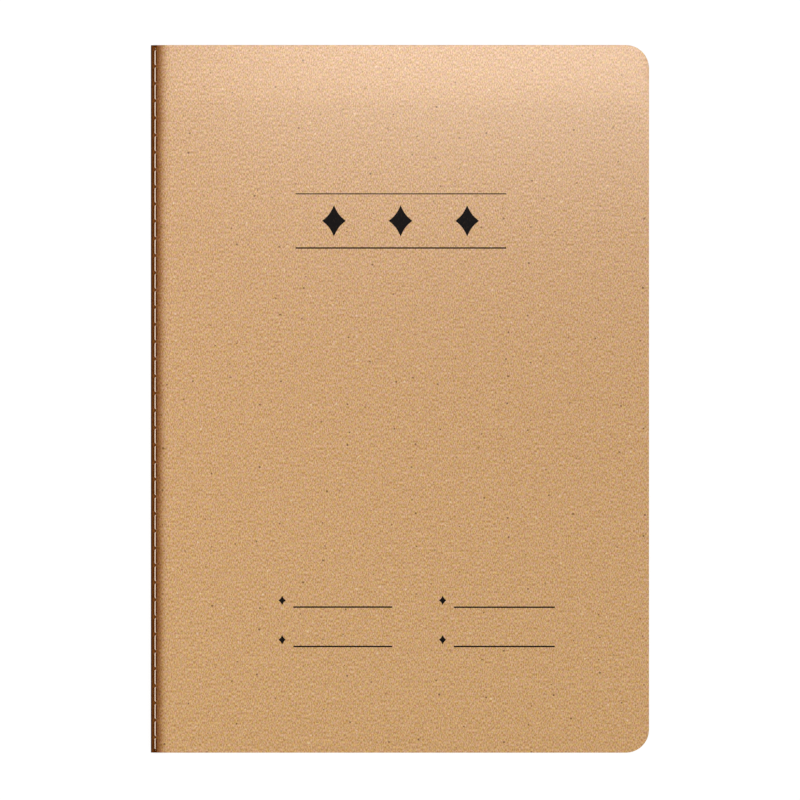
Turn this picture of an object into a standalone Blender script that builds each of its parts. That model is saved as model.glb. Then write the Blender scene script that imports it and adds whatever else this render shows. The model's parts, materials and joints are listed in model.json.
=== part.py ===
# Thread-sewn exercise book, lying closed on its back cover.
# +X runs from the spine to the fore-edge, +Y from the tail to the head, +Z up.
# The origin is under the middle of the closed book.
import math

import bmesh
import bpy
from mathutils import Matrix, Vector

MM = 0.001

# Cover and sheets
BOOK_WIDTH = 176 * MM        # spine edge to fore-edge
BOOK_HEIGHT = 250 * MM       # tail to head
CORNER_RADIUS = 8.2 * MM     # fore-edge corners of the cover and every leaf
SHEET_COUNT = 18             # folded sheets, two leaves each
PAPER = 0.10 * MM
COVER_CARD = 0.28 * MM
LAYER_GAP = 0.02 * MM        # air between neighbouring layers

# Fold
FOLD_RUN = 3.06 * MM         # inner crease to where the leaves lie flat
FLAT_RUN = 0.30 * MM         # flat margin of the cover's spine strip
TURNING_GAP = 0.05 * MM      # clearance of the turning leaves round the fold
CREASE_LIFT = 0.15 * MM      # bending line of the front cover above its outer face

# Seam
STITCH_INSET = 1.48 * MM     # spine edge to the seam, seen from the front
STITCH_PITCH = 6.08 * MM
HEAD_HOLE = 1.25 * MM        # head edge to the first needle hole
TAIL_HOLE = 0.95 * MM        # tail edge to the last needle hole
NEEDLE_THREAD = 0.44 * MM    # diameter of the thread on the cover
BOBBIN_THREAD = 0.22 * MM    # diameter of the thread in the middle of the book
BOBBIN_INSET = 0.45 * MM     # inner crease to the bobbin thread
THREAD_RISE = 0.50 * MM      # length over which a thread climbs out of a hole
THREAD_EASE = 0.04 * MM      # room beside the bobbin thread in the gutter
HOLE_EASE = 0.12 * MM        # room between a thread and the rim of its hole
PUNCH_OVERRUN = 0.10 * MM    # punch past either face of the layer it cuts

# Facets
ARC_STEPS = 16               # over the half turn of a fold
CORNER_STEPS = 6             # over a rounded corner
THREAD_ROUNDNESS = 2         # bevel resolution of the threads
SMOOTH_ANGLE = math.radians(40)

# Colours
KRAFT_COLOUR = (0.62, 0.37, 0.19)
PAPER_COLOUR = (0.86, 0.83, 0.75)
THREAD_COLOUR = (0.68, 0.58, 0.51)

# The nested folds are ellipses about one centre line, labelled by their height above the middle plane
half_block = SHEET_COUNT * (PAPER + LAYER_GAP) + COVER_CARD
nose_length = FOLD_RUN + half_block
seam_angle = math.acos(1 - STITCH_INSET / nose_length)
gutter_angle = math.acos(1 - BOBBIN_INSET / FOLD_RUN)
half_gutter = (BOBBIN_THREAD / 2 + THREAD_EASE) / math.sin(gutter_angle)
half_thickness = half_gutter + half_block
cover_inside = half_thickness - COVER_CARD

# All leaves turn about the inner crease and start outside the circle that holds the folds
crease_axis = Vector((half_block - BOOK_WIDTH / 2, 0, half_thickness))
fold_radius = math.hypot(FOLD_RUN + FLAT_RUN, half_thickness)
fore_edge = BOOK_WIDTH - half_block


def empty_scene():
    for item in list(bpy.data.objects):
        bpy.data.objects.remove(item, do_unlink=True)


def make_collection(name):
    collection = bpy.data.collections.new(name)
    bpy.context.scene.collection.children.link(collection)
    return collection


def make_material(name, colour, roughness):
    material = bpy.data.materials.new(name)
    material.use_nodes = True
    shader = material.node_tree.nodes["Principled BSDF"]
    shader.inputs["Base Color"].default_value = (*colour, 1)
    shader.inputs["Roughness"].default_value = roughness
    shader.inputs["Metallic"].default_value = 0
    return material


def add_object(name, data, collection, parent, material=None):
    item = bpy.data.objects.new(name, data)
    collection.objects.link(item)
    item.parent = parent
    if material:
        data.materials.append(material)
    return item


def fold_point(height, angle):
    reach = FOLD_RUN + height - half_gutter
    return Vector((FOLD_RUN - reach * math.cos(angle), 0, height * math.sin(angle)))


def fold_normal(height, angle):
    reach = FOLD_RUN + height - half_gutter
    return Vector((-math.cos(angle) / reach, 0, math.sin(angle) / height)).normalized()


def fold_end(outer_height):
    return math.sqrt(fold_radius ** 2 - outer_height ** 2)


def leaf_start(inner_height):
    return math.sqrt((fold_radius + TURNING_GAP) ** 2 - inner_height ** 2)


def fold_path(height, end):
    turns = [math.pi * (step / ARC_STEPS - 0.5) for step in range(ARC_STEPS + 1)]
    nose = [fold_point(height, turn) for turn in turns]
    return [Vector((end, 0, -height)), *nose, Vector((end, 0, height))]


def sheet_height(number):
    # Outer height of a sheet, numbered from the cover inwards
    return cover_inside - LAYER_GAP - (number - 1) * (PAPER + LAYER_GAP)


def add_fold(name, outer_height, thickness, material):
    # The section between two nested ellipses, drawn out from tail to head
    section = bmesh.new()
    end = fold_end(outer_height)
    chains = []
    for height in (outer_height, outer_height - thickness):
        corners = [section.verts.new(point) for point in fold_path(height, end)]
        chains += [section.edges.new(pair) for pair in zip(corners, corners[1:])]
    bmesh.ops.bridge_loops(section, edges=chains)
    bmesh.ops.translate(section, verts=section.verts[:], vec=(0, -BOOK_HEIGHT / 2, 0))
    drawn = bmesh.ops.extrude_face_region(section, geom=section.faces[:])
    far_side = [corner for corner in drawn["geom"] if isinstance(corner, bmesh.types.BMVert)]
    bmesh.ops.translate(section, verts=far_side, vec=(0, BOOK_HEIGHT, 0))
    bmesh.ops.recalc_face_normals(section, faces=section.faces[:])
    mesh = bpy.data.meshes.new(name)
    section.to_mesh(mesh)
    section.free()
    mesh.shade_smooth()
    mesh.set_sharp_from_angle(angle=SMOOTH_ANGLE)
    return add_object(name, mesh, book, opening_axis, material)


def panel_outline(inner_edge):
    # Square at the spine, rounded at the fore-edge
    half_height = BOOK_HEIGHT / 2
    arc_x = fore_edge - CORNER_RADIUS
    arc_y = half_height - CORNER_RADIUS
    turns = [math.pi / 2 * step / CORNER_STEPS for step in range(CORNER_STEPS + 1)]
    corner = [(arc_x + CORNER_RADIUS * math.cos(t), arc_y + CORNER_RADIUS * math.sin(t)) for t in turns]
    tail_corner = [(x, -y) for x, y in reversed(corner)]
    return [(inner_edge, -half_height), *tail_corner, *corner, (inner_edge, half_height)]


def add_panel(name, inner_height, thickness, side, material):
    # A flat leaf or cover board, on the front (+1) or the back (-1) of the middle plane
    outline = panel_outline(leaf_start(inner_height))
    curve = bpy.data.curves.new(name, "CURVE")
    curve.dimensions = "2D"
    curve.fill_mode = "BOTH"
    curve.extrude = thickness / 2
    spline = curve.splines.new("POLY")
    spline.points.add(len(outline) - 1)
    for point, (x, y) in zip(spline.points, outline):
        point.co = (x, y, 0, 1)
    spline.use_cyclic_u = True
    panel = add_object(name, curve, book, opening_axis, material)
    panel.location.z = side * (inner_height + thickness / 2)
    return panel


def hole_places():
    # Even stitches from the head, with the last one as long as the tail leaves it
    first = BOOK_HEIGHT / 2 - HEAD_HOLE
    last = TAIL_HOLE - BOOK_HEIGHT / 2
    count = round((first - last) / STITCH_PITCH)
    return [first - STITCH_PITCH * number for number in range(count)] + [last]


def layer_depth(outer_height, thickness, angle):
    # Thickness of a folded layer at one place, square to its surface
    through = fold_point(outer_height, angle) - fold_point(outer_height - thickness, angle)
    return through.dot(fold_normal(outer_height, angle))


def punch_holes(fold, outer_height, thickness, angle, diameter):
    # One slot through the fold at every needle hole, wide enough for the thread in it
    normal = fold_normal(outer_height, angle)
    depth = layer_depth(outer_height, thickness, angle)
    middle = fold_point(outer_height, angle) - normal * depth / 2
    width = diameter + 2 * HOLE_EASE
    length = 2 * (THREAD_RISE + HOLE_EASE)
    stroke = depth + 2 * PUNCH_OVERRUN
    turn = normal.to_track_quat("Z", "X").to_matrix().to_4x4()
    shape = turn @ Matrix.Diagonal((width, length, stroke, 1))
    punch = bmesh.new()
    for place in hole_places():
        seat = Matrix.Translation(middle + Vector((0, place, 0)))
        bmesh.ops.create_cube(punch, size=1, matrix=seat @ shape)
    mesh = bpy.data.meshes.new(fold.name + "_punch")
    punch.to_mesh(mesh)
    punch.free()
    cutter = add_object(mesh.name, mesh, cutters, opening_axis)
    cutter.hide_render = True
    cutter.display_type = "WIRE"
    cut = fold.modifiers.new("needle holes", "BOOLEAN")
    cut.operation = "DIFFERENCE"
    cut.object = cutter


def add_thread(name, diameter, run, dip, material):
    # The thread lies at run between holes and at dip in each hole
    route = []
    places = hole_places()
    for place, following in zip(places, places[1:]):
        route.append(dip + Vector((0, place, 0)))
        route.append(run + Vector((0, place - THREAD_RISE, 0)))
        route.append(run + Vector((0, following + THREAD_RISE, 0)))
    route.append(dip + Vector((0, places[-1], 0)))
    curve = bpy.data.curves.new(name, "CURVE")
    curve.dimensions = "3D"
    curve.bevel_depth = diameter / 2
    curve.bevel_resolution = THREAD_ROUNDNESS
    curve.use_fill_caps = True
    spline = curve.splines.new("POLY")
    spline.points.add(len(route) - 1)
    for point, place in zip(spline.points, route):
        point.co = (*place, 1)
    spline.use_smooth = True
    return add_object(name, curve, book, opening_axis, material)


def add_needle_thread(material):
    # On the cover, sinking into the card at the holes
    surface = fold_point(half_thickness, seam_angle)
    normal = fold_normal(half_thickness, seam_angle)
    run = surface + normal * (NEEDLE_THREAD / 2 + LAYER_GAP)
    dip = run - normal * layer_depth(half_thickness, COVER_CARD, seam_angle)
    add_thread("needle_thread", NEEDLE_THREAD, run, dip, material)


def add_bobbin_thread(material):
    # On the middle plane of the gutter, rising into the holes of the innermost sheet
    run = Vector((BOBBIN_INSET, 0, 0))
    dip = run + Vector((0, 0, layer_depth(half_gutter + PAPER, PAPER, gutter_angle)))
    add_thread("bobbin_thread", BOBBIN_THREAD, run, dip, material)


def add_cover(material):
    spine = add_fold("cover_spine", half_thickness, COVER_CARD, material)
    punch_holes(spine, half_thickness, COVER_CARD, seam_angle, NEEDLE_THREAD)
    add_panel("back_cover", cover_inside, COVER_CARD, -1, material)
    front = add_panel("front_cover", cover_inside, COVER_CARD, 1, material)
    crease = bpy.data.objects.new("front_crease", None)
    book.objects.link(crease)
    crease.parent = opening_axis
    crease_x = (fold_end(half_thickness) + leaf_start(cover_inside)) / 2
    crease.location = (crease_x, 0, half_thickness + CREASE_LIFT)
    front.parent = crease
    front.location -= crease.location


def add_sheet(number, material):
    outer_height = sheet_height(number)
    name = f"sheet_{number:02d}"
    fold = add_fold(name + "_fold", outer_height, PAPER, material)
    add_panel(name + "_front_leaf", outer_height - PAPER, PAPER, 1, material)
    add_panel(name + "_back_leaf", outer_height - PAPER, PAPER, -1, material)
    if number == SHEET_COUNT:
        punch_holes(fold, outer_height, PAPER, gutter_angle, BOBBIN_THREAD)


empty_scene()
book = make_collection("exercise_book")
cutters = make_collection("exercise_book_cutters")
opening_axis = bpy.data.objects.new("opening_axis", None)
book.objects.link(opening_axis)
opening_axis.location = crease_axis

add_cover(make_material("kraft_card", KRAFT_COLOUR, 0.8))
paper = make_material("paper", PAPER_COLOUR, 0.85)
for sheet_number in range(1, SHEET_COUNT + 1):
    add_sheet(sheet_number, paper)
thread = make_material("sewing_thread", THREAD_COLOUR, 0.75)
add_needle_thread(thread)
add_bobbin_thread(thread)
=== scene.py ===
# Looks of the thread-sewn exercise book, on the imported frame
import json
import math
import random

import bmesh
import bpy
import numpy as np
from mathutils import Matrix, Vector


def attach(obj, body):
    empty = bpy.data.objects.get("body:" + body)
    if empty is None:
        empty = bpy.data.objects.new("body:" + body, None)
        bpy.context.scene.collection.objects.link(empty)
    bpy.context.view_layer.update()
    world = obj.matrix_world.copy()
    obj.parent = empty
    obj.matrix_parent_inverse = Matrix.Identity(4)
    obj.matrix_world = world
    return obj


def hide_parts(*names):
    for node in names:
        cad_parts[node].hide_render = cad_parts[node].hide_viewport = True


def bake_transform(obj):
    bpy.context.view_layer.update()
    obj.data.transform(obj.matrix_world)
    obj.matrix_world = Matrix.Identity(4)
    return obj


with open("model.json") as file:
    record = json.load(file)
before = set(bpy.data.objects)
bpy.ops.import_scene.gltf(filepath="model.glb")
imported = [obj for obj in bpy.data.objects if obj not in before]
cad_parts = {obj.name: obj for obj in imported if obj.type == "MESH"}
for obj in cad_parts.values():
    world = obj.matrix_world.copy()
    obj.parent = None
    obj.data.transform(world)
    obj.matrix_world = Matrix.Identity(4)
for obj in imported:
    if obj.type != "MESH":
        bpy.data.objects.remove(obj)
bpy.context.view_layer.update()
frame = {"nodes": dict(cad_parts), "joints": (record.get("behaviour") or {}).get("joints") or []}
print("frame loaded:", len(frame["nodes"]), "nodes")

mm = 0.001
book = {
    "width": 176 * mm,
    "height": 250 * mm,
    "cornerRadius": 8.2 * mm,
    "sheets": 18,
    "paper": 0.10 * mm,
    "card": 0.28 * mm,
    "layerGap": 0.02 * mm,
    "foldRun": 3.06 * mm,  # inner crease to where the leaves lie flat
    "humpRun": 1.6 * mm,  # an open leaf rises beside the gutter over about this
    "humpFade": 70 * mm,  # and settles over about this
    "noseEase": 0.06,  # evens out the bend towards both ends of the nose
    "sharpFrom": math.radians(35),  # edges bent more than this stay sharp
}

# Everything is drawn in the section about the inner crease: x to the fore-edge, z up
hinges = {joint["name"]: joint for joint in frame["joints"]}
axis = Vector(hinges["book_opening"]["pos_m"])
crease = Vector(hinges["front_cover_turn"]["pos_m"]) - axis
halfThick = axis.z
halfGutter = halfThick - (axis.x + book["width"] / 2)
cardInside = halfThick - book["card"]
foreEdge = book["width"] / 2 - axis.x
headEdge = book["height"] / 2


def foldPoint(height, turn):
    reach = book["foldRun"] + height - halfGutter
    return book["foldRun"] - reach * math.cos(turn), height * math.sin(turn)


def foldNormal(height, turn):
    reach = book["foldRun"] + height - halfGutter
    return Vector((-math.cos(turn) / reach, 0, math.sin(turn) / height)).normalized()


def noseColumns(outer, inner, steps):
    turns = [math.pi * (step / steps - 0.5) for step in range(steps + 1)]
    return [(foldPoint(outer, turn), foldPoint(inner, turn)) for turn in turns]


def halfHeight(x, edge):
    # How far a leaf reaches to head and tail at one place, less at its rounded corners
    into = np.clip(x - (edge - book["cornerRadius"]), 0, book["cornerRadius"])
    return headEdge - book["cornerRadius"] + np.sqrt(book["cornerRadius"] ** 2 - into ** 2)


def rimDistance(x, y):
    # Distance inwards from the cut edge of the cover
    radius = book["cornerRadius"]
    alongX = x - (foreEdge - radius)
    alongY = np.abs(y) - (headEdge - radius)
    straight = np.minimum(foreEdge - x, headEdge - np.abs(y))
    return np.where((alongX > 0) & (alongY > 0), radius - np.hypot(alongX, alongY), straight)


def cornerStops(edge, steps):
    radius = book["cornerRadius"]
    return [edge - radius + radius * math.sin(math.pi / 2 * step / steps) for step in range(steps + 1)]


def layerPiece(name, columns, rows, tip, press=None, marks=None):
    # A closed layer of card or paper: columns run round the section, rows from tail to head
    outer = np.array([column[0] for column in columns])
    inner = np.array([column[1] for column in columns])
    lengths = np.hypot(*np.diff(outer, axis=0).T)
    along = np.concatenate([[0], np.cumsum(lengths)])
    along = along - along[tip]
    count, deep = rows.shape
    outward = outer - inner
    outward = outward / np.linalg.norm(outward, axis=1)[:, None]
    grids = []
    for points, face in ((outer, 0), (inner, 1)):
        pressed = press(along[:, None], outer[:, :1], rows, face) if press else np.zeros(rows.shape)
        x = axis.x + points[:, :1] - outward[:, :1] * pressed
        z = axis.z + points[:, 1:] - outward[:, 1:] * pressed
        grids.append(np.stack([x, rows, z], axis=2).reshape(-1, 3))
    number = np.arange(count * deep).reshape(count, deep)
    quads = np.stack([number[:-1, :-1], number[1:, :-1], number[1:, 1:], number[:-1, 1:]], axis=2)
    quads = quads.reshape(-1, 4)
    below = quads[:, ::-1] + count * deep
    border = np.concatenate([number[:, 0], number[-1, 1:], number[-2::-1, -1], number[0, -2:0:-1]])
    following = np.roll(border, -1)
    walls = np.stack([following, border, border + count * deep, following + count * deep], axis=1)
    faces = np.concatenate([quads, below, walls])
    mesh = bpy.data.meshes.new(name)
    mesh.from_pydata(np.concatenate(grids).tolist(), [], faces.tolist())
    unrolled = np.stack([np.broadcast_to(along[:, None], rows.shape), rows], axis=2).reshape(-1, 2)
    unrolled = np.concatenate([unrolled, unrolled])
    corners = np.empty(len(mesh.loops), int)
    mesh.loops.foreach_get("vertex_index", corners)
    layer = mesh.uv_layers.new(name="unrolled")
    layer.uv.foreach_set("vector", unrolled[corners].astype(np.float32).ravel())
    for key, values in (marks or {}).items():
        attribute = mesh.attributes.new(key, "FLOAT", "POINT")
        attribute.data.foreach_set("value", np.tile(values.ravel(), 2).astype(np.float32))
    cut = mesh.attributes.new("cutEdge", "FLOAT", "FACE")
    cut.data.foreach_set("value", (np.arange(len(faces)) >= len(quads) * 2).astype(np.float32))
    shell = bmesh.new()
    shell.from_mesh(mesh)
    bmesh.ops.recalc_face_normals(shell, faces=shell.faces[:])
    shell.to_mesh(mesh)
    shell.free()
    mesh.shade_smooth()
    mesh.set_sharp_from_angle(angle=book["sharpFrom"])
    piece = bpy.data.objects.new(name, mesh)
    bpy.context.scene.collection.objects.link(piece)
    return piece


def bendRound(piece):
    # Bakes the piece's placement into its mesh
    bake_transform(piece)


def bendLike(piece):
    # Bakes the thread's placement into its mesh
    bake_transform(piece)


# Node helpers
def addNode(tree, kind, sockets=None, **settings):
    node = tree.nodes.new(kind)
    for key, value in settings.items():
        setattr(node, key, value)
    for key, value in (sockets or {}).items():
        if isinstance(value, bpy.types.NodeSocket):
            tree.links.new(value, node.inputs[key])
        else:
            node.inputs[key].default_value = value
    return node


def calc(tree, operation, first, second=0.0):
    return addNode(tree, "ShaderNodeMath", {0: first, 1: second}, operation=operation).outputs[0]


def turnVector(tree, operation, first, second=None, scale=None):
    sockets = {0: first}
    if second is not None:
        sockets[1] = second
    if scale is not None:
        sockets["Scale"] = scale
    return addNode(tree, "ShaderNodeVectorMath", sockets, operation=operation).outputs["Vector"]


def remap(tree, value, low, high, newLow=0.0, newHigh=1.0, shape="LINEAR"):
    sockets = {0: value, 1: low, 2: high, 3: newLow, 4: newHigh}
    return addNode(tree, "ShaderNodeMapRange", sockets, interpolation_type=shape).outputs[0]


def mixColour(tree, factor, first, second, mode="MIX"):
    sockets = {0: factor, 6: first, 7: second}
    return addNode(tree, "ShaderNodeMix", sockets, data_type="RGBA", blend_type=mode).outputs[2]


def splitXyz(tree, place):
    return addNode(tree, "ShaderNodeSeparateXYZ", {0: place}).outputs


def joinXyz(tree, x=0.0, y=0.0, z=0.0):
    return addNode(tree, "ShaderNodeCombineXYZ", {0: x, 1: y, 2: z}).outputs[0]


def noiseOf(tree, place, scale, detail):
    sockets = {"Vector": place, "Scale": scale, "Detail": detail}
    return addNode(tree, "ShaderNodeTexNoise", sockets).outputs["Fac"]


def attributeOf(tree, name):
    return addNode(tree, "ShaderNodeAttribute", attribute_name=name).outputs["Fac"]


def newTree(name, kind, inputs, outputs):
    tree = bpy.data.node_groups.new(name, kind)
    for label, socketType, value in inputs:
        socket = tree.interface.new_socket(label, in_out="INPUT", socket_type=socketType)
        if value is not None:
            socket.default_value = value
    for label, socketType in outputs:
        tree.interface.new_socket(label, in_out="OUTPUT", socket_type=socketType)
    return tree, tree.nodes.new("NodeGroupInput").outputs, tree.nodes.new("NodeGroupOutput").inputs


def runTree(piece, tree, values):
    # Works the tree out on the piece and keeps the plain mesh
    modifier = piece.modifiers.new(tree.name, "NODES")
    modifier.node_group = tree
    for item in tree.interface.items_tree:
        if item.in_out == "INPUT" and item.name in values:
            modifier[item.identifier] = values[item.name]
    piece.update_tag()
    worked = piece.evaluated_get(bpy.context.evaluated_depsgraph_get())
    mesh = bpy.data.meshes.new_from_object(worked)
    piece.modifiers.remove(modifier)
    mesh.name = piece.name
    piece.data = mesh


# Seam
seam = {
    "inset": 1.585 * mm,  # spine edge to the seam, seen from the front
    "pitch": 6.08 * mm,
    "headHole": 1.39 * mm,
    "tailHole": 0.95 * mm,
    "needle": 0.46 * mm,  # thread on the cover
    "bobbin": 0.22 * mm,  # thread in the gutter
    "bobbinInset": 0.45 * mm,
    "twist": 7.0,  # turns of the plies in one stitch
    "holeAcross": 0.36 * mm,
    "holeAlong": 0.55 * mm,
    "gap": 1.17 * mm,  # between the ends of two stitches that show
    "dent": 0.10 * mm,  # card pulled in round a hole
    "groove": 0.05 * mm,  # card pulled in under the thread
    "pucker": 0.035 * mm,  # folds that run from the holes on to the cover
    "dentAcross": 0.50 * mm,
    "dentAlong": 0.75 * mm,
    "grooveAcross": 0.45 * mm,
    "puckerRun": 1.5 * mm,  # a pucker fades over this on to the cover
    "puckerBack": 0.5 * mm,  # and over this towards the spine
    "puckerEnd": 6.6 * mm,  # from the tip of the spine
    "puckerFade": 2 * mm,
    "pressedThrough": 0.1,  # share of all this that reaches the inside of the card
    "needleLie": 0.42,  # height of the thread's middle over the card, in thread widths
    "needleDip": 0.30 * mm,  # and under the card in a hole
    "bobbinLie": 0.001 * mm,
    "bobbinDip": 0.12 * mm,
    "bobbinGap": 0.8 * mm,
    "bobbinTwist": 1.6,  # times the needle thread's
    "punch": 1.2 * mm,  # depth of the punch through the card
    "punchCorners": 10,
}
seamTurn = math.acos(1 - seam["inset"] / (axis.x + book["width"] / 2 + book["foldRun"]))
gutterTurn = math.acos(1 - seam["bobbinInset"] / book["foldRun"])
firstHole = headEdge - seam["headHole"]
lastHole = seam["tailHole"] - headEdge
stitchCount = round((firstHole - lastHole) / seam["pitch"])
lastStitch = firstHole - seam["pitch"] * (stitchCount - 1) - lastHole


def seamPoint(height, turn, y):
    x, z = foldPoint(height, turn)
    return Vector((axis.x + x, y, axis.z + z))


def seamReach():
    chords = 399
    turns = np.linspace(0, seamTurn, chords + 1)
    points = np.array([foldPoint(halfThick, turn) for turn in turns])
    return np.hypot(*np.diff(points, axis=0).T).sum()


seamAlong = seamReach()


# Materials
pulpLook = {
    "roughness": 0.6,  # of the noise under the grain and the mottling
    "mottleShift": 17.3,  # keeps one pattern apart from another
    "tintShift": 41.7,
    "blushShift": 63.1,
    "fleckShift": 23.6,
    "patch": 3.4,  # tinted patches, in sizes of the grain
    "fibreTurns": (0.35, 1.45, 2.55),  # three lays of fibres
    "fibreBend": 0.35,
    "fibreApart": 5.0,  # keeps the lays apart
    "strand": (0.62, 0.76),  # noise where a pale fibre begins and is full
    "hollow": (0.36, 0.22),  # and a dark one
    "speckSize": (0.5, 1.25),  # smallest and largest, in speck radii
    "speckEdge": (1.2, 0.6),  # from the rim of a speck to its full colour
    "speckLot": (0.25, 0.75),  # the cells that have none, and a full one
    "strandHeight": 0.5,
    "grainSpan": (0.2, 0.8),  # most of the grain lies between these
}


def fibreGroup():
    # Grain, soft mottling, loose fibres and specks of uncoated pulp, in metres on the unrolled layer
    inputs = [
        ("Vector", "NodeSocketVector", None),
        ("Grain Size", "NodeSocketFloat", 0.5 * mm),
        ("Grain Stretch", "NodeSocketFloat", 1.0),
        ("Mottle Size", "NodeSocketFloat", 3 * mm),
        ("Fibre Length", "NodeSocketFloat", 1.6 * mm),
        ("Fibre Width", "NodeSocketFloat", 0.3 * mm),
        ("Speck Spacing", "NodeSocketFloat", 8 * mm),
        ("Speck Radius", "NodeSocketFloat", 0.3 * mm),
    ]
    names = ["Grain", "Mottle", "Tint", "Blush", "Fibres", "Dark Fibres", "Specks", "Flecks", "Height"]
    outputs = [(name, "NodeSocketFloat") for name in names]
    tree, given, result = newTree("pulpFibres", "ShaderNodeTree", inputs, outputs)
    place = given["Vector"]
    parts = splitXyz(tree, place)
    long = calc(tree, "DIVIDE", parts[1], given["Grain Stretch"])
    drawn = joinXyz(tree, parts[0], long, parts[2])

    def noiseAt(spot, size, detail, shift):
        scaled = turnVector(tree, "SCALE", spot, scale=calc(tree, "DIVIDE", 1.0, size))
        moved = turnVector(tree, "ADD", scaled, (shift, 2 * shift, 0.0))
        sockets = {"Vector": moved, "Scale": 1.0, "Detail": detail, "Roughness": pulpLook["roughness"]}
        return addNode(tree, "ShaderNodeTexNoise", sockets).outputs["Fac"]

    grain = noiseAt(drawn, given["Grain Size"], 2.0, 0.0)
    mottle = noiseAt(place, given["Mottle Size"], 3.0, pulpLook["mottleShift"])
    patch = calc(tree, "MULTIPLY", given["Grain Size"], pulpLook["patch"])
    tint = noiseAt(place, patch, 1.0, pulpLook["tintShift"])
    blush = noiseAt(place, patch, 1.0, pulpLook["blushShift"])
    strands = None
    hollows = None
    for number, angle in enumerate(pulpLook["fibreTurns"]):
        sockets = {"Vector": place, "Angle": angle}
        turned = addNode(tree, "ShaderNodeVectorRotate", sockets, rotation_type="Z_AXIS")
        parts = splitXyz(tree, turned.outputs[0])
        lengthwise = calc(tree, "DIVIDE", parts[0], given["Fibre Length"])
        crosswise = calc(tree, "DIVIDE", parts[1], given["Fibre Width"])
        spread = joinXyz(tree, lengthwise, crosswise, pulpLook["fibreApart"] * number)
        sockets = {"Vector": spread, "Scale": 1.0, "Detail": 1.0, "Distortion": pulpLook["fibreBend"]}
        noise = addNode(tree, "ShaderNodeTexNoise", sockets)
        strand = remap(tree, noise.outputs["Fac"], *pulpLook["strand"])
        hollow = remap(tree, noise.outputs["Fac"], *pulpLook["hollow"])
        strands = strand if strands is None else calc(tree, "MAXIMUM", strands, strand)
        hollows = hollow if hollows is None else calc(tree, "MAXIMUM", hollows, hollow)
    cells = turnVector(tree, "SCALE", place, scale=calc(tree, "DIVIDE", 1.0, given["Speck Spacing"]))

    def dotsAt(shift):
        moved = turnVector(tree, "ADD", cells, (shift, 2 * shift, 0.0))
        dots = addNode(tree, "ShaderNodeTexVoronoi", {"Vector": moved, "Scale": 1.0}, voronoi_dimensions="2D")
        lot = addNode(tree, "ShaderNodeSeparateColor", {0: dots.outputs["Color"]}).outputs
        width = calc(tree, "DIVIDE", given["Speck Radius"], given["Speck Spacing"])
        width = calc(tree, "MULTIPLY", width, remap(tree, lot[1], 0.0, 1.0, *pulpLook["speckSize"]))
        share = calc(tree, "DIVIDE", dots.outputs["Distance"], width)
        shown = remap(tree, lot[0], *pulpLook["speckLot"])
        return calc(tree, "MULTIPLY", remap(tree, share, *pulpLook["speckEdge"]), shown)

    specks = dotsAt(0.0)
    flecks = dotsAt(pulpLook["fleckShift"])
    height = calc(tree, "ADD", grain, calc(tree, "MULTIPLY", strands, pulpLook["strandHeight"]))
    for name, value in zip(names, (grain, mottle, tint, blush, strands, hollows, specks, flecks, height)):
        tree.links.new(value, result[name])
    return tree


def newMaterial(name):
    material = bpy.data.materials.new(name)
    material.use_nodes = True
    tree = material.node_tree
    return material, tree, tree.nodes["Principled BSDF"].inputs


def placeFibres(tree, place, sizes):
    group = addNode(tree, "ShaderNodeGroup", node_tree=pulpFibres)
    tree.links.new(place, group.inputs["Vector"])
    for label, size in sizes.items():
        group.inputs[label].default_value = size
    return group.outputs


def dressShader(tree, shader, look, colour, grain, height):
    # What all the looks share: a colour, and a grain that roughens and lifts the surface
    tree.links.new(colour, shader["Base Color"])
    rough = remap(tree, grain, *pulpLook["grainSpan"], *look["roughness"])
    tree.links.new(rough, shader["Roughness"])
    sockets = {"Height": height, "Strength": look["bump"][0], "Distance": look["bump"][1]}
    tree.links.new(addNode(tree, "ShaderNodeBump", sockets).outputs[0], shader["Normal"])


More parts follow.
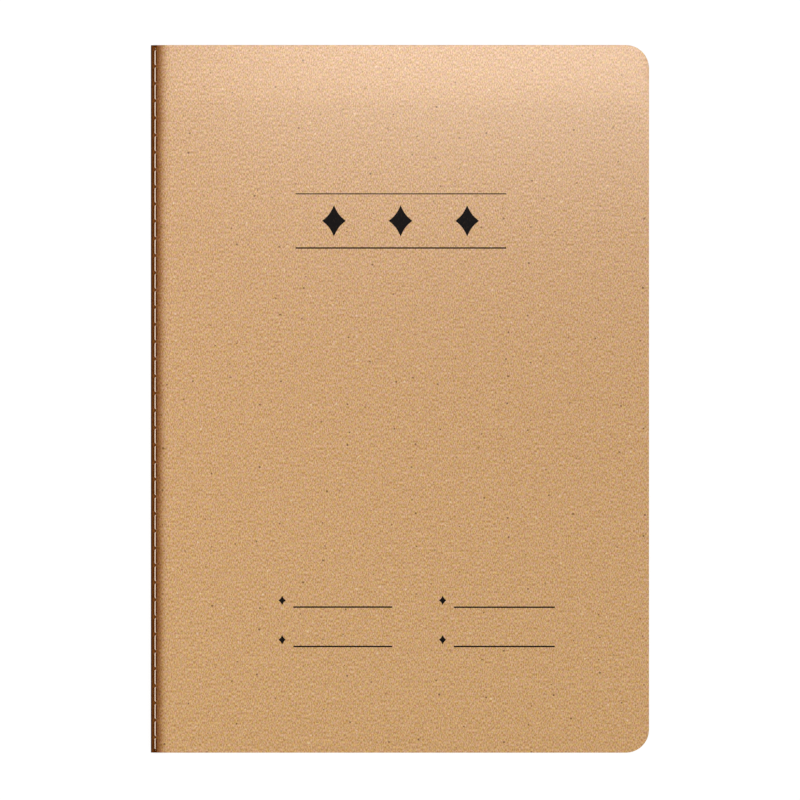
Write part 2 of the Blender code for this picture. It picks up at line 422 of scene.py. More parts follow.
kraft = {
    "dark": (0.335, 0.158, 0.044, 1),  # the two ends of the grain
    "light": (0.622, 0.392, 0.206, 1),
    "yellow": (1.0, 1.0375, 0.68, 1),  # patches of warmer and pinker pulp, times the card's colour
    "pink": (1.0, 0.9625, 1.315, 1),
    "pale": (0.94, 1.03, 1.0, 1),
    "ruddy": (1.06, 0.97, 1.0, 1),
    "tail": (1.0, 1.0, 0.925, 1),  # the card is a little warmer towards the tail
    "head": (1.0, 1.0, 1.03, 1),
    "palestAt": 0.35,  # share of the way from the middle to the head where it is at its palest
    # What lies in the pulp: how strongly it shows, and its colour
    "inclusions": {"Fibres": (0.45, (0.66, 0.46, 0.29, 1)), "Dark Fibres": (0.35, (0.26, 0.14, 0.06, 1)),
                   "Specks": (0.8, (0.10, 0.04, 0.012, 1)), "Flecks": (0.32, (0.88, 0.74, 0.56, 1))},
    "rim": (0.98, 0.94, 0.90, 1),  # cut edge, times the card's colour
    "sizes": {"Grain Size": 0.33 * mm, "Grain Stretch": 2.6, "Mottle Size": 4 * mm, "Fibre Length": 1.5 * mm,
              "Fibre Width": 0.30 * mm, "Speck Spacing": 8 * mm, "Speck Radius": 0.34 * mm},
    "toneSpan": (0.35, 0.65),  # grain at its darkest and lightest
    "tintSpan": (0.30, 0.70),
    "mottle": 0.02,
    "mottleSpan": (0.25, 0.75),
    "roughness": (0.60, 0.80),
    "gloss": (0.75, 0.95),  # sheen of the pressed card, rubbed off at the spine
    "glossRoughness": 0.42,
    "pastSpineShade": (4 * mm, 9 * mm),  # the coat sheen comes in between these, past the painted spine shade
    "bump": (0.25, 0.04 * mm),
    "wobble": 0.30 * mm,  # how uneven the edge of the painted spine shade is
    "wobbleScale": 90.0,
    "threadShadowTint": (0.42, 0.28, 0.06, 1),  # painted shadow of the thread on the card along each stitch, times the card's colour
    "stripeShift": 0.12 * mm,
    "stripeSide": (0.92 * mm, 0.55 * mm),  # fades between these, off the seam
    "stripeEnd": (0.45 * mm, 0.85 * mm),  # and between these, from a hole
    "spineRun": 8.0,  # in mm, as the list below
    # Painted shade round the spine, where the card curves away from the light: distance from its tip in mm,
    # times the card's colour
    "spine": [(0.0, (0.19, 0.11, 0.06)), (0.86, (0.11, 0.05, 0.02)), (1.41, (0.238, 0.117, 0.039)),
              (1.87, (0.278, 0.147, 0.057)), (2.5, (0.263, 0.138, 0.061)), (3.07, (0.364, 0.226, 0.120)),
              (3.47, (0.395, 0.245, 0.155)), (3.83, (0.405, 0.300, 0.235)), (4.2, (0.500, 0.370, 0.280)),
              (4.56, (0.555, 0.458, 0.387)), (4.92, (0.671, 0.590, 0.551)), (5.27, (0.750, 0.685, 0.670)),
              (5.64, (0.820, 0.785, 0.785)), (6.0, (0.885, 0.865, 0.895)), (6.7, (0.970, 0.965, 1.000)),
              (8.0, (1.0, 1.0, 1.0))],
}


def paintedSpineShade(tree, place, colour):
    # Painted shade round the spine, and a painted shadow beside each stitch
    parts = splitXyz(tree, place)
    noise = noiseOf(tree, place, kraft["wobbleScale"], 2.0)
    wobble = remap(tree, noise, *pulpLook["grainSpan"], -kraft["wobble"], kraft["wobble"])
    reach = calc(tree, "ADD", calc(tree, "ABSOLUTE", parts[0]), wobble)
    # painted shade: the ramp darkens the card's colour towards the tip of the spine
    ramp = addNode(tree, "ShaderNodeValToRGB", {0: remap(tree, reach, 0.0, kraft["spineRun"] * mm)})
    stops = ramp.color_ramp.elements
    for number, (away, tone) in enumerate(kraft["spine"]):
        stop = stops[number] if number < 2 else stops.new(1.0)
        stop.position = away / kraft["spineRun"]
        stop.color = (*tone, 1)
    colour = mixColour(tree, 1.0, colour, ramp.outputs[0], "MULTIPLY")
    # painted shadow of the thread on the card, at both sides of each stitch and not in the gaps
    beside = calc(tree, "ABSOLUTE", calc(tree, "SUBTRACT", parts[0], seamAlong - kraft["stripeShift"]))
    toHole = calc(tree, "PINGPONG", calc(tree, "SUBTRACT", firstHole, parts[1]), seam["pitch"] / 2)
    threadShadow = remap(tree, beside, *kraft["stripeSide"])
    threadShadow = calc(tree, "MULTIPLY", threadShadow, remap(tree, toHole, *kraft["stripeEnd"]))
    shadowed = mixColour(tree, 1.0, colour, kraft["threadShadowTint"], "MULTIPLY")
    colour = mixColour(tree, threadShadow, colour, shadowed)
    return colour, remap(tree, reach, *kraft["pastSpineShade"], shape="SMOOTHSTEP")


def kraftMaterial():
    material, tree, shader = newMaterial("kraftCard")
    place = addNode(tree, "ShaderNodeUVMap", uv_map="unrolled").outputs[0]
    pulp = placeFibres(tree, place, kraft["sizes"])
    mottle = remap(tree, pulp["Mottle"], *kraft["mottleSpan"], -kraft["mottle"], kraft["mottle"])
    tone = remap(tree, calc(tree, "ADD", pulp["Grain"], mottle), *kraft["toneSpan"])
    colour = mixColour(tree, tone, kraft["dark"], kraft["light"])
    for part, low, high in (("Tint", "yellow", "pink"), ("Blush", "pale", "ruddy")):
        tint = mixColour(tree, remap(tree, pulp[part], *kraft["tintSpan"]), kraft[low], kraft[high])
        colour = mixColour(tree, 1.0, colour, tint, "MULTIPLY")
    up = splitXyz(tree, place)[1]
    # the card turns a little bluer towards the head and warmer towards the tail
    towardHead = remap(tree, up, -headEdge, kraft["palestAt"] * headEdge)
    colour = mixColour(tree, 1.0, colour, mixColour(tree, towardHead, kraft["tail"], kraft["head"]), "MULTIPLY")
    for part, (strength, shade) in kraft["inclusions"].items():
        colour = mixColour(tree, calc(tree, "MULTIPLY", pulp[part], strength), colour, shade)
    colour, pastSpineShade = paintedSpineShade(tree, place, colour)
    rim = attributeOf(tree, "rim")
    colour = mixColour(tree, rim, colour, mixColour(tree, 1.0, colour, kraft["rim"], "MULTIPLY"))
    dressShader(tree, shader, kraft, colour, pulp["Grain"], pulp["Height"])
    shader["Specular IOR Level"].default_value = 0.0
    gloss = remap(tree, pulp["Grain"], *pulpLook["grainSpan"], *kraft["gloss"])
    tree.links.new(calc(tree, "MULTIPLY", pastSpineShade, gloss), shader["Coat Weight"])
    shader["Coat Roughness"].default_value = kraft["glossRoughness"]
    return material


pages = {
    "cream": (0.72, 0.69, 0.61, 1),
    "shade": (0.66, 0.62, 0.53, 1),
    "ruling": (0.33, 0.42, 0.50, 1),
    "edge": (0.92, 0.89, 0.81, 1),  # edge faces of the leaves, painted paler than the pages as painted light for sides the top lamp hardly lights
    "lineEvery": 8 * mm,
    "lineWidth": 0.22 * mm,
    "headMargin": 22 * mm,
    "foreMargin": 7 * mm,
    "tailMargin": 6 * mm,
    "lineEnd": 0.2 * mm,  # a printed line fades out over this
    "lineSide": (0.75, 0.35),  # and across itself between these, in line widths from its middle
    "firstLine": (-0.5, -0.45),  # none above this, in line spacings
    "inked": (0.25, 0.5, 0.55, 0.85),  # grain from and to, share of ink there
    "mottle": (0.3, 0.8, 0.0, 0.5),  # noise from and to, share of shade there
    "specks": 0.35,
    "grainTone": 0.03,
    "roughness": (0.74, 0.88),
    "bump": (0.2, 0.02 * mm),
    "sizes": {"Grain Size": 0.35 * mm, "Mottle Size": 9 * mm, "Fibre Length": 1.2 * mm,
              "Fibre Width": 0.16 * mm, "Speck Spacing": 30 * mm, "Speck Radius": 0.10 * mm},
}


def paperMaterial():
    material, tree, shader = newMaterial("writingPaper")
    place = addNode(tree, "ShaderNodeUVMap", uv_map="unrolled").outputs[0]
    pulp = placeFibres(tree, place, pages["sizes"])
    mottle = remap(tree, pulp["Mottle"], *pages["mottle"])
    colour = mixColour(tree, mottle, pages["cream"], pages["shade"])
    colour = mixColour(tree, calc(tree, "MULTIPLY", pulp["Specks"], pages["specks"]), colour, pages["shade"])
    tone = attributeOf(tree, "pageTone")
    grain = remap(tree, pulp["Grain"], *pulpLook["grainSpan"], -pages["grainTone"], pages["grainTone"])
    colour = mixColour(tree, 1.0, colour, calc(tree, "ADD", tone, grain), "MULTIPLY")
    parts = splitXyz(tree, place)
    down = calc(tree, "SUBTRACT", headEdge - pages["headMargin"], parts[1])  # below the first line
    step = calc(tree, "PINGPONG", down, pages["lineEvery"] / 2)
    nearLine = remap(tree, step, *[pages["lineWidth"] * share for share in pages["lineSide"]])
    below = remap(tree, down, *[pages["lineEvery"] * share for share in pages["firstLine"]])
    lowest = pages["tailMargin"] - headEdge
    above = remap(tree, parts[1], lowest, lowest + pages["lineEnd"])
    across = calc(tree, "SUBTRACT", foreEdge - pages["foreMargin"], calc(tree, "ABSOLUTE", parts[0]))
    inside = calc(tree, "MULTIPLY", above, remap(tree, across, 0.0, pages["lineEnd"]))
    printed = calc(tree, "MULTIPLY", calc(tree, "MULTIPLY", nearLine, below), inside)
    broken = calc(tree, "MULTIPLY", printed, remap(tree, pulp["Grain"], *pages["inked"]))
    colour = mixColour(tree, broken, colour, pages["ruling"])
    # painted light: the edge faces of the leaves take a paler colour than the pages
    paintedEdgeLight = attributeOf(tree, "cutEdge")
    colour = mixColour(tree, paintedEdgeLight, colour, pages["edge"])
    dressShader(tree, shader, pages, colour, pulp["Grain"], pulp["Height"])
    return material


thread = {
    "dark": (0.61, 0.45, 0.335, 1),  # the two ends of the fuzz
    "light": (0.85, 0.67, 0.535, 1),
    "soil": (0.42, 0.28, 0.18, 1),
    "buried": (0.07, 0.03, 0.012, 1),  # painted shade: near black where the thread sinks into a needle hole
    "fuzzScale": 6000.0,
    "fuzzSpan": (0.3, 0.7),
    "soilScale": 420.0,
    "soiled": (0.45, 0.8, 0.0, 0.35),  # noise from and to, share of soil there
    "sunkSpan": (0.80, 1.0),
    "roughness": (0.60, 0.80),
    "bump": (0.3, 0.02 * mm),
}


def threadMaterial():
    material, tree, shader = newMaterial("sewingThread")
    place = addNode(tree, "ShaderNodeTexCoord").outputs["Object"]
    fuzz = noiseOf(tree, place, thread["fuzzScale"], 2.0)
    soil = noiseOf(tree, place, thread["soilScale"], 3.0)
    colour = mixColour(tree, remap(tree, fuzz, *thread["fuzzSpan"]), thread["dark"], thread["light"])
    colour = mixColour(tree, remap(tree, soil, *thread["soiled"]), colour, thread["soil"])
    # painted shade on the thread inside a needle hole
    buried = attributeOf(tree, "buried")
    colour = mixColour(tree, remap(tree, buried, *thread["sunkSpan"]), colour, thread["buried"])
    dressShader(tree, shader, thread, colour, fuzz, fuzz)
    return material


ink = {
    "full": (0.005, 0.004, 0.004, 1),
    "thin": (0.07, 0.04, 0.02, 1),  # where the card shows through
    "thinSpan": (0.55, 0.80),
    "thinMost": 0.35,
    "sheen": 0.05,
    "roughness": (0.48, 0.66),
    "bump": (0.3, 0.03 * mm),
}


def inkMaterial():
    # Print that the card's fibres drink unevenly
    material, tree, shader = newMaterial("printInk")
    place = addNode(tree, "ShaderNodeTexCoord").outputs["Object"]
    pulp = placeFibres(tree, place, kraft["sizes"])
    thin = calc(tree, "MULTIPLY", remap(tree, pulp["Grain"], *ink["thinSpan"]), ink["thinMost"])
    colour = mixColour(tree, thin, ink["full"], ink["thin"])
    dressShader(tree, shader, ink, colour, pulp["Grain"], pulp["Height"])
    shader["Specular IOR Level"].default_value = ink["sheen"]
    return material


pulpFibres = fibreGroup()
kraftCard = kraftMaterial()
writingPaper = paperMaterial()
sewingThread = threadMaterial()
printInk = inkMaterial()
print("materials made")


# Holes and stitches, which repeat along the seam
def dressTree(tree, geometry, given, result):
    sockets = {"Geometry": geometry, "Material": given["Material"]}
    tree.links.new(addNode(tree, "GeometryNodeSetMaterial", sockets).outputs[0], result["Geometry"])


def holeTree():
    inputs = [
        ("Geometry", "NodeSocketGeometry", None),
        ("Holes", "NodeSocketInt", 41),
        ("Pitch", "NodeSocketFloat", 6 * mm),
        ("First Hole", "NodeSocketVector", None),
        ("Last Hole", "NodeSocketVector", None),
        ("Slot", "NodeSocketVector", (1 * mm, 1 * mm, 1 * mm)),
        ("Lean", "NodeSocketFloat", 0.0),
        ("Material", "NodeSocketMaterial", None),
    ]
    outputs = [("Geometry", "NodeSocketGeometry")]
    tree, given, result = newTree("needleHoles", "GeometryNodeTree", inputs, outputs)
    step = joinXyz(tree, y=calc(tree, "MULTIPLY", given["Pitch"], -1.0))
    even = addNode(tree, "GeometryNodeMeshLine", {
        "Count": given["Holes"], "Start Location": given["First Hole"], "Offset": step}).outputs[0]
    odd = addNode(tree, "GeometryNodeMeshLine", {"Count": 1, "Start Location": given["Last Hole"]}).outputs[0]
    places = addNode(tree, "GeometryNodeJoinGeometry")
    tree.links.new(even, places.inputs[0])
    tree.links.new(odd, places.inputs[0])
    sockets = {"Vertices": seam["punchCorners"], "Radius": 0.5, "Depth": 1.0}
    punch = addNode(tree, "GeometryNodeMeshCylinder", sockets).outputs[0]
    turn = joinXyz(tree, y=given["Lean"])
    stood = addNode(tree, "GeometryNodeInstanceOnPoints", {
        "Points": places.outputs[0], "Instance": punch, "Rotation": turn, "Scale": given["Slot"]}).outputs[0]
    plain = addNode(tree, "GeometryNodeRealizeInstances", {0: stood}).outputs[0]
    sockets = {0: given["Geometry"], 1: plain}
    cut = addNode(tree, "GeometryNodeMeshBoolean", sockets, operation="DIFFERENCE", solver="EXACT").outputs[0]
    dressTree(tree, cut, given, result)
    return tree


ply = {
    "plies": 3.0,
    "core": 0.90,  # middle radius of the thread, in half widths
    "lobe": 0.13,  # how far each ply stands out
    "steps": 89,  # rings along a stitch
    "round": 12,  # corners of a ring
    "sinkFrom": 1.48,  # a stitch goes down between these, in gaps from its end
    "sinkTo": 0.83,
    "lieEnd": 0.92,  # height over the card at the ends of a stitch
    "lieBow": 0.16,  # and how much more in its middle
}


def stitchTree():
    inputs = [
        ("Geometry", "NodeSocketGeometry", None),
        ("Stitches", "NodeSocketInt", 41),
        ("Pitch", "NodeSocketFloat", 6 * mm),
        ("Last Stitch", "NodeSocketFloat", 5 * mm),
        ("Thread", "NodeSocketFloat", 0.5 * mm),
        ("Twist", "NodeSocketFloat", 7.0),
        ("Gap", "NodeSocketFloat", 1 * mm),
        ("First Hole", "NodeSocketVector", None),
        ("Lie", "NodeSocketVector", None),
        ("Dip", "NodeSocketVector", None),
        ("Material", "NodeSocketMaterial", None),
    ]
    outputs = [("Geometry", "NodeSocketGeometry")]
    tree, given, result = newTree("lockStitch", "GeometryNodeTree", inputs, outputs)
    back = calc(tree, "MULTIPLY", given["Pitch"], -1.0)
    end = joinXyz(tree, y=back)
    line = addNode(tree, "GeometryNodeCurvePrimitiveLine", {"End": end}).outputs[0]
    line = addNode(tree, "GeometryNodeResampleCurve", {"Curve": line, "Count": ply["steps"]}).outputs[0]
    factor = addNode(tree, "GeometryNodeSplineParameter").outputs["Factor"]
    fromMiddle = calc(tree, "ABSOLUTE", calc(tree, "SUBTRACT", calc(tree, "MULTIPLY", factor, 2.0), 1.0))
    gap = calc(tree, "DIVIDE", given["Gap"], given["Pitch"])
    showing = calc(tree, "SUBTRACT", 1.0, calc(tree, "MULTIPLY", gap, ply["sinkFrom"]))
    buried = calc(tree, "SUBTRACT", 1.0, calc(tree, "MULTIPLY", gap, ply["sinkTo"]))
    sunk = remap(tree, fromMiddle, showing, buried, shape="SMOOTHSTEP")
    bow = calc(tree, "SUBTRACT", 1.0, calc(tree, "POWER", fromMiddle, 2.0))
    raised = calc(tree, "ADD", ply["lieEnd"], calc(tree, "MULTIPLY", bow, ply["lieBow"]))
    lie = turnVector(tree, "SCALE", given["Lie"], scale=raised)
    sockets = {0: sunk, 4: lie, 5: given["Dip"]}
    shift = addNode(tree, "ShaderNodeMix", sockets, data_type="VECTOR").outputs[1]
    line = addNode(tree, "GeometryNodeSetPosition", {"Geometry": line, "Offset": shift}).outputs[0]
    line = addNode(tree, "GeometryNodeStoreNamedAttribute", {
        "Geometry": line, "Name": "buried", "Value": sunk}, data_type="FLOAT", domain="POINT").outputs[0]
    tilt = calc(tree, "MULTIPLY", factor, calc(tree, "MULTIPLY", given["Twist"], 2 * math.pi))
    line = addNode(tree, "GeometryNodeSetCurveTilt", {"Curve": line, "Tilt": tilt}).outputs[0]
    sockets = {"Resolution": ply["round"], "Radius": 0.5}
    ring = addNode(tree, "GeometryNodeCurvePrimitiveCircle", sockets).outputs[0]
    spot = addNode(tree, "GeometryNodeInputPosition").outputs[0]
    parts = splitXyz(tree, spot)
    angle = calc(tree, "MULTIPLY", calc(tree, "ARCTAN2", parts[1], parts[0]), ply["plies"])
    lobes = calc(tree, "ADD", ply["core"], calc(tree, "MULTIPLY", calc(tree, "COSINE", angle), ply["lobe"]))
    lobes = turnVector(tree, "SCALE", spot, scale=calc(tree, "MULTIPLY", lobes, given["Thread"]))
    ring = addNode(tree, "GeometryNodeSetPosition", {"Geometry": ring, "Position": lobes}).outputs[0]
    sockets = {"Curve": line, "Profile Curve": ring, "Fill Caps": True}
    tube = addNode(tree, "GeometryNodeCurveToMesh", sockets).outputs[0]
    places = addNode(tree, "GeometryNodeMeshLine", {
        "Count": calc(tree, "SUBTRACT", given["Stitches"], 1.0),
        "Start Location": given["First Hole"], "Offset": end}).outputs[0]
    row = addNode(tree, "GeometryNodeInstanceOnPoints", {"Points": places, "Instance": tube}).outputs[0]
    run = calc(tree, "MULTIPLY", back, calc(tree, "SUBTRACT", given["Stitches"], 1.0))
    tail = turnVector(tree, "ADD", given["First Hole"], joinXyz(tree, y=run))
    short = joinXyz(tree, 1.0, calc(tree, "DIVIDE", given["Last Stitch"], given["Pitch"]), 1.0)
    sockets = {"Geometry": tube, "Translation": tail, "Scale": short}
    final = addNode(tree, "GeometryNodeTransform", sockets).outputs[0]
    joined = addNode(tree, "GeometryNodeJoinGeometry")
    tree.links.new(row, joined.inputs[0])
    tree.links.new(final, joined.inputs[0])
    plain = addNode(tree, "GeometryNodeRealizeInstances", {0: joined.outputs[0]}).outputs[0]
    smooth = addNode(tree, "GeometryNodeSetShadeSmooth", {"Geometry": plain}).outputs[0]
    dressTree(tree, smooth, given, result)
    return tree


needleHoles = holeTree()
lockStitch = stitchTree()


def punchRow(piece, height, turn, slot, material):
    normal = foldNormal(height, turn)
    runTree(piece, needleHoles, {
        "Holes": stitchCount, "Pitch": seam["pitch"],
        "First Hole": seamPoint(height, turn, firstHole), "Last Hole": seamPoint(height, turn, lastHole),
        "Slot": slot, "Lean": math.atan2(normal.x, normal.z), "Material": material})


# Cover
cover = {
    "foldSteps": 64,
    "rowsInStitch": 10,
    "rimStops": [0, 0.06 * mm, 0.16 * mm, 0.32 * mm],
    "rimDrop": 0.06 * mm,  # die-cut edge, rolled under
    "bend": 1.3 * mm,  # strip of close columns beside the crease, where the front cover turns
    "bendSteps": 10,
    "panelStops": [8 * mm, 20 * mm, 60 * mm, 110 * mm, 150 * mm],
    "panelRows": 12,
    "cornerSteps": 14,
    "cornerInset": 1.5,  # columns of the corner stop here, in widths of the rim
    "rimMark": 0.45 * mm,  # width of the band that takes the colour of the cut edge
}


def pressCard(along, x, y, face):
    # How far the card is pulled in: round the seam, and rolled under at the cut edge
    phase = (firstHole - y) / seam["pitch"]
    away = np.abs(phase - np.round(phase)) * seam["pitch"]
    off = along - seamAlong
    dent = seam["dent"] * np.exp(-(off / seam["dentAcross"]) ** 2 - (away / seam["dentAlong"]) ** 2)
    groove = seam["groove"] * np.exp(-(off / seam["grooveAcross"]) ** 2)
    fade = np.where(off > 0, np.exp(-off / seam["puckerRun"]), np.exp(off / seam["puckerBack"]))
    settle = np.clip((seam["puckerEnd"] - along) / seam["puckerFade"], 0, 1) * (along > 0)
    pucker = seam["pucker"] * fade * (0.5 + 0.5 * np.cos(2 * math.pi * phase)) * settle
    if face == 1:
        return seam["pressedThrough"] * (dent + groove + pucker)
    rim = np.clip(1 - rimDistance(x, y) / cover["rimStops"][-1], 0, 1)
    return dent + groove + pucker + cover["rimDrop"] * rim ** 2


def coverRows(columns, steps):
    outer = np.array([column[0] for column in columns])
    limit = halfHeight(outer[:, 0], foreEdge)[:, None]
    rim = np.array(cover["rimStops"])
    inside = np.linspace(-1, 1, steps + 1)[1:-1] * (limit - rim[-1])
    return np.concatenate([rim - limit, inside, limit - rim[::-1]], axis=1)


def rimMark(columns, rows):
    outer = np.array([column[0] for column in columns])
    return np.clip(1 - rimDistance(outer[:, :1], rows) / cover["rimMark"], 0, 1)


def coverPanel(name, side):
    steps = cover["bendSteps"]
    stops = [crease.x + cover["bend"] * step / steps for step in range(steps + 1)]
    stops += cover["panelStops"]
    rims = [foreEdge - stop for stop in reversed(cover["rimStops"])]
    corner = cornerStops(foreEdge - cover["rimStops"][-1] * cover["cornerInset"], cover["cornerSteps"])
    stops += sorted(corner + rims)
    columns = [((x, side * halfThick), (x, side * cardInside)) for x in stops]
    rows = coverRows(columns, cover["panelRows"])
    return layerPiece(name, columns, rows, 0, pressCard, {"rim": rimMark(columns, rows)})


def shiftMap(piece, amount, flip=1):
    # Carries the unrolled map on from the spine strip
    values = np.empty(len(piece.data.loops) * 2, np.float32)
    layer = piece.data.uv_layers["unrolled"].uv
    layer.foreach_get("vector", values)
    values[0::2] = flip * (values[0::2] + amount)
    layer.foreach_set("vector", values)


def makeCover():
    nose = noseColumns(halfThick, cardInside, cover["foldSteps"])
    columns = [((crease.x, -halfThick), (crease.x, -cardInside))]
    columns += nose
    columns.append(((crease.x, halfThick), (crease.x, cardInside)))
    rows = coverRows(columns, stitchCount * cover["rowsInStitch"])
    tip = 1 + cover["foldSteps"] // 2
    spine = layerPiece("coverSpine", columns, rows, tip, pressCard, {"rim": rimMark(columns, rows)})
    slot = (seam["holeAcross"], seam["holeAlong"], seam["punch"])
    punchRow(spine, halfThick, seamTurn, slot, kraftCard)
    points = np.array([column[0] for column in columns])
    half = np.hypot(*np.diff(points[tip:], axis=0).T).sum()
    front = coverPanel("coverFront", 1)
    back = coverPanel("coverBack", -1)
    shiftMap(front, half)
    shiftMap(back, half, -1)
    for piece in (front, back):
        piece.data.materials.append(kraftCard)
    bendRound(spine)
    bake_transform(front)
    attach(back, "back")
    for piece, node in ((spine, "cover_spine"), (front, "front_cover"), (back, "back_cover")):
        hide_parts(node)
    print("cover made:", [(piece.name, len(piece.data.polygons)) for piece in (front, spine, back)])


# Sheets
sheets = {
    "foldSteps": 24,
    "leafStops": [4, 5.5, 8, 11, 15, 20, 26, 34, 44, 56, 72, 92, 120, 148],
    "cornerSteps": 10,
    "rows": 8,
    "inset": 0.09 * mm,  # most that one leaf lies inside the trimmed edge
    "loft": 0.02 * mm,  # leaves fill out this much towards their edges
    "settleFrom": 3.5 * mm,
    "settleTo": 26 * mm,  # between these, the leaves close up on the middle of the book
    "hump": 1.35 * mm,  # how far a middle leaf of the open book rises beside the gutter
    # Needle holes of the sheets that a thread reaches, in mm across and along
    "pierced": {1: (1.1, 2.1), 2: (1.1, 2.1), 3: (0.9, 1.6), 18: (0.40, 0.9)},
    "punch": 0.30 * mm,
    "settleShare": 0.9,  # of the gap in the gutter
    "insetLeast": 0.02,  # of the inset
    "shortMost": 0.5,  # of the inset, at head and tail
    "palest": 1.0,
    "darkest": 0.955,
    "seed": 11,
}


def makeSheet(number, chance):
    outer = cardInside - book["layerGap"] - (number - 1) * (book["paper"] + book["layerGap"])
    inner = outer - book["paper"]
    depth = (number - 1) / (book["sheets"] - 1)
    columns = noseColumns(outer, inner, sheets["foldSteps"])
    limits = [headEdge] * len(columns)
    settleRun = sheets["settleTo"] - sheets["settleFrom"]
    for side in (1, -1):
        edge = foreEdge - chance.uniform(sheets["insetLeast"], 1) * sheets["inset"]
        short = chance.uniform(0.0, sheets["shortMost"]) * sheets["inset"]
        stops = [stop * mm for stop in sheets["leafStops"]] + cornerStops(edge, sheets["cornerSteps"])
        leaf = []
        ends = []
        for x in stops:
            part = min(max((x - sheets["settleFrom"]) / settleRun, 0), 1)
            settled = sheets["settleShare"] * halfGutter * depth * part * part * (3 - 2 * part)
            under = inner - settled - sheets["loft"] * part
            leaf.append(((x, side * (outer - settled)), (x, side * under)))
            ends.append(float(halfHeight(x, edge)) - short * part)
        columns = columns + leaf if side > 0 else leaf[::-1] + columns
        limits = limits + ends if side > 0 else ends[::-1] + limits
    rows = np.array(limits)[:, None] * np.linspace(-1, 1, sheets["rows"] + 1)
    tip = len(columns) // 2
    tone = np.full(rows.shape, chance.uniform(sheets["darkest"], sheets["palest"]))
    name = f"sheet_{number:02d}"
    piece = layerPiece(name + "_folded", columns, rows, tip, None, {"pageTone": tone})
    piece.data.materials.append(writingPaper)
    if number in sheets["pierced"]:
        across, along = sheets["pierced"][number]
        turn = gutterTurn if number == book["sheets"] else seamTurn
        punchRow(piece, outer, turn, (across * mm, along * mm, sheets["punch"]), writingPaper)
    bendRound(piece)
    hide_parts(name + "_front_leaf", name + "_fold", name + "_back_leaf")


# Threads
def emptyPiece(name):
    piece = bpy.data.objects.new(name, bpy.data.meshes.new(name))
    bpy.context.scene.collection.objects.link(piece)
    return piece


def makeThreads():
    normal = foldNormal(halfThick, seamTurn)
    lie = seam["needle"] * seam["needleLie"] - seam["groove"]
    row = {"Stitches": stitchCount, "Last Stitch": lastStitch,
           "Pitch": seam["pitch"], "Material": sewingThread}
    needle = emptyPiece("needleStitches")
    runTree(needle, lockStitch, {
        **row, "Thread": seam["needle"], "Twist": seam["twist"], "Gap": seam["gap"],
        "First Hole": seamPoint(halfThick, seamTurn, firstHole),
        "Lie": normal * lie, "Dip": normal * -seam["needleDip"]})
    bendRound(needle)
    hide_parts("needle_thread")
    bobbin = emptyPiece("bobbinStitches")
    start = axis + Vector((seam["bobbinInset"], firstHole, 0))
    runTree(bobbin, lockStitch, {
        **row, "Thread": seam["bobbin"], "Twist": seam["twist"] * seam["bobbinTwist"],
        "Gap": seam["bobbinGap"], "First Hole": start,
        "Lie": Vector((0, 0, seam["bobbinLie"])), "Dip": Vector((0, 0, seam["bobbinDip"]))})
    bendLike(bobbin)
    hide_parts("bobbin_thread")
    print("threads made:", len(needle.data.polygons), len(bobbin.data.polygons))


# Print on the front cover, in mm from its middle
coverPrint = {
    "film": 0.012 * mm,
    "upperRules": [(-36.88, 37.58, 72.44, 0.37), (-36.88, 37.58, 53.31, 0.52)],  # from, to, height, width
    "lowerRules": [(-37.66, -2.70, -73.55, 0.54), (19.02, 54.72, -73.61, 0.54),
                   (-37.66, -2.70, -87.48, 0.54), (19.02, 54.72, -87.48, 0.54)],
    # x, y, width, height
    "lozenges": [(-23.3, 62.9, 8.4, 11.0), (0.23, 62.9, 8.4, 11.0), (23.76, 62.9, 8.4, 11.0)],
    "bullets": [(-41.6, -71.2, 2.6, 3.4), (15.1, -71.2, 2.6, 3.4),
                (-41.6, -85.1, 2.6, 3.4), (15.1, -85.1, 2.6, 3.4)],
    "hollow": 0.16,  # how far a lozenge's sides curve in
    "sideSteps": 8,
    "lift": 0.001 * mm,  # between the card and the ink
}


def lozengeOutline(x, y, width, height):
    tips = [(width / 2, 0), (0, height / 2), (-width / 2, 0), (0, -height / 2)]
    outline = []
    for (ax, ay), (bx, by) in zip(tips, tips[1:] + tips[:1]):
        for step in range(coverPrint["sideSteps"]):
            part = step / coverPrint["sideSteps"]
            pull = 1 - coverPrint["hollow"] * 4 * part * (1 - part)
            outline.append((x + (ax + (bx - ax) * part) * pull, y + (ay + (by - ay) * part) * pull))
    return outline


def makePrint():
    outlines = []
    for start, end, y, width in coverPrint["upperRules"] + coverPrint["lowerRules"]:
        low = y - width / 2
        high = y + width / 2
        outlines.append([(start, low), (end, low), (end, high), (start, high)])
    for lozenge in coverPrint["lozenges"] + coverPrint["bullets"]:
        outlines.append(lozengeOutline(*lozenge))
    top = axis.z + halfThick + coverPrint["lift"]
    marks = bmesh.new()
    for outline in outlines:
        face = marks.faces.new([marks.verts.new((x * mm, y * mm, top)) for x, y in outline])
        raised = bmesh.ops.extrude_face_region(marks, geom=[face])["geom"]
        lifted = [corner for corner in raised if isinstance(corner, bmesh.types.BMVert)]
        bmesh.ops.translate(marks, verts=lifted, vec=(0, 0, coverPrint["film"]))
    bmesh.ops.recalc_face_normals(marks, faces=marks.faces[:])
    piece = emptyPiece("coverPrint")
    marks.to_mesh(piece.data)
    marks.free()
    piece.data.materials.append(printInk)
    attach(piece, "cover_front")
    print("print made:", len(outlines), "marks")


makeCover()
chance = random.Random(sheets["seed"])
for sheetNumber in range(1, book["sheets"] + 1):
    makeSheet(sheetNumber, chance)
print("sheets made:", book["sheets"])
makeThreads()
makePrint()

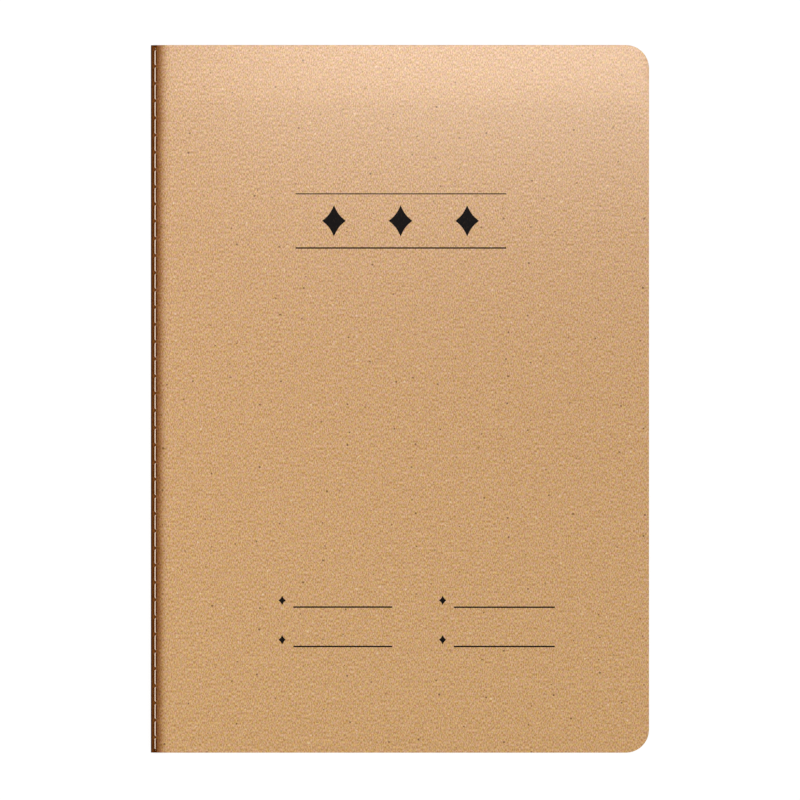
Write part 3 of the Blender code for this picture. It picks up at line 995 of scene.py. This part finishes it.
# Studio
studio = {
    "pixel": 0.3533 * mm,  # size of one picture point on the cover
    "points": 800,  # across the picture
    "bookMiddle": (399.9, 398.87),
    "lens": 1000,
    "sensor": 36,
    "clipEnd": 50,
    "sky": 0.62,
    "floor": (0.28, 0.28, 0.28, 1),
    "floorRoughness": 0.9,
    "floorGlow": 0.70,  # lit from below, as a light table is
    "floorHalf": 4,
    "floorCells": 8,
    "floorDrop": 0.05 * mm,  # keeps the floor clear of the back cover
    "lamps": [
        {"name": "topBox", "place": (0.0, 0.0, 12.0), "size": (0.3, 0.3), "watts": 712,
         "gloss": False, "spread": 180},
        {"name": "sideBox", "place": (-0.2, 0.06, 0.35), "size": (0.12, 0.12), "watts": 0.26,
         "gloss": False, "spread": 180},
        {"name": "headBox", "place": (0.06, 0.155, 0.29), "size": (0.28, 0.06), "watts": 0.18,
         "gloss": True, "spread": 62},
    ],
}


def makeStudio():
    scene = bpy.context.scene
    scene.view_settings.view_transform = "Standard"
    lens = bpy.data.cameras.new("camera")
    lens.lens = studio["lens"]
    lens.sensor_width = studio["sensor"]
    lens.clip_end = studio["clipEnd"]
    camera = bpy.data.objects.new("camera", lens)
    scene.collection.objects.link(camera)
    frameWidth = studio["points"] * studio["pixel"]
    middleX = (studio["points"] / 2 - studio["bookMiddle"][0]) * studio["pixel"]
    middleY = (studio["bookMiddle"][1] - studio["points"] / 2) * studio["pixel"]
    away = frameWidth * studio["lens"] / studio["sensor"]
    camera.location = (middleX, middleY, axis.z + halfThick + away)
    scene.camera = camera
    ground = bmesh.new()
    cells = studio["floorCells"]
    bmesh.ops.create_grid(ground, x_segments=cells, y_segments=cells, size=studio["floorHalf"])
    floor = emptyPiece("studioFloor")
    ground.to_mesh(floor.data)
    ground.free()
    floor.location.z = -studio["floorDrop"]
    material, tree, shader = newMaterial("paleFloor")
    shader["Base Color"].default_value = studio["floor"]
    shader["Roughness"].default_value = studio["floorRoughness"]
    shader["Emission Color"].default_value = (1, 1, 1, 1)
    shader["Emission Strength"].default_value = studio["floorGlow"]
    floor.data.materials.append(material)
    world = bpy.data.worlds.new("softRoom")
    world.use_nodes = True
    world.node_tree.nodes["Background"].inputs["Color"].default_value = (1, 1, 1, 1)
    world.node_tree.nodes["Background"].inputs["Strength"].default_value = studio["sky"]
    scene.world = world
    for facts in studio["lamps"]:
        lamp = bpy.data.lights.new(facts["name"], "AREA")
        lamp.shape = "RECTANGLE"
        lamp.size, lamp.size_y = facts["size"]
        lamp.energy = facts["watts"]
        lamp.spread = math.radians(facts["spread"])
        light = bpy.data.objects.new(facts["name"], lamp)
        light.location = facts["place"]
        light.visible_camera = False
        light.visible_diffuse = not facts["gloss"]  # the strip at the head only gives the card its sheen
        light.visible_glossy = facts["gloss"]
        scene.collection.objects.link(light)
    print("studio made")


makeStudio()
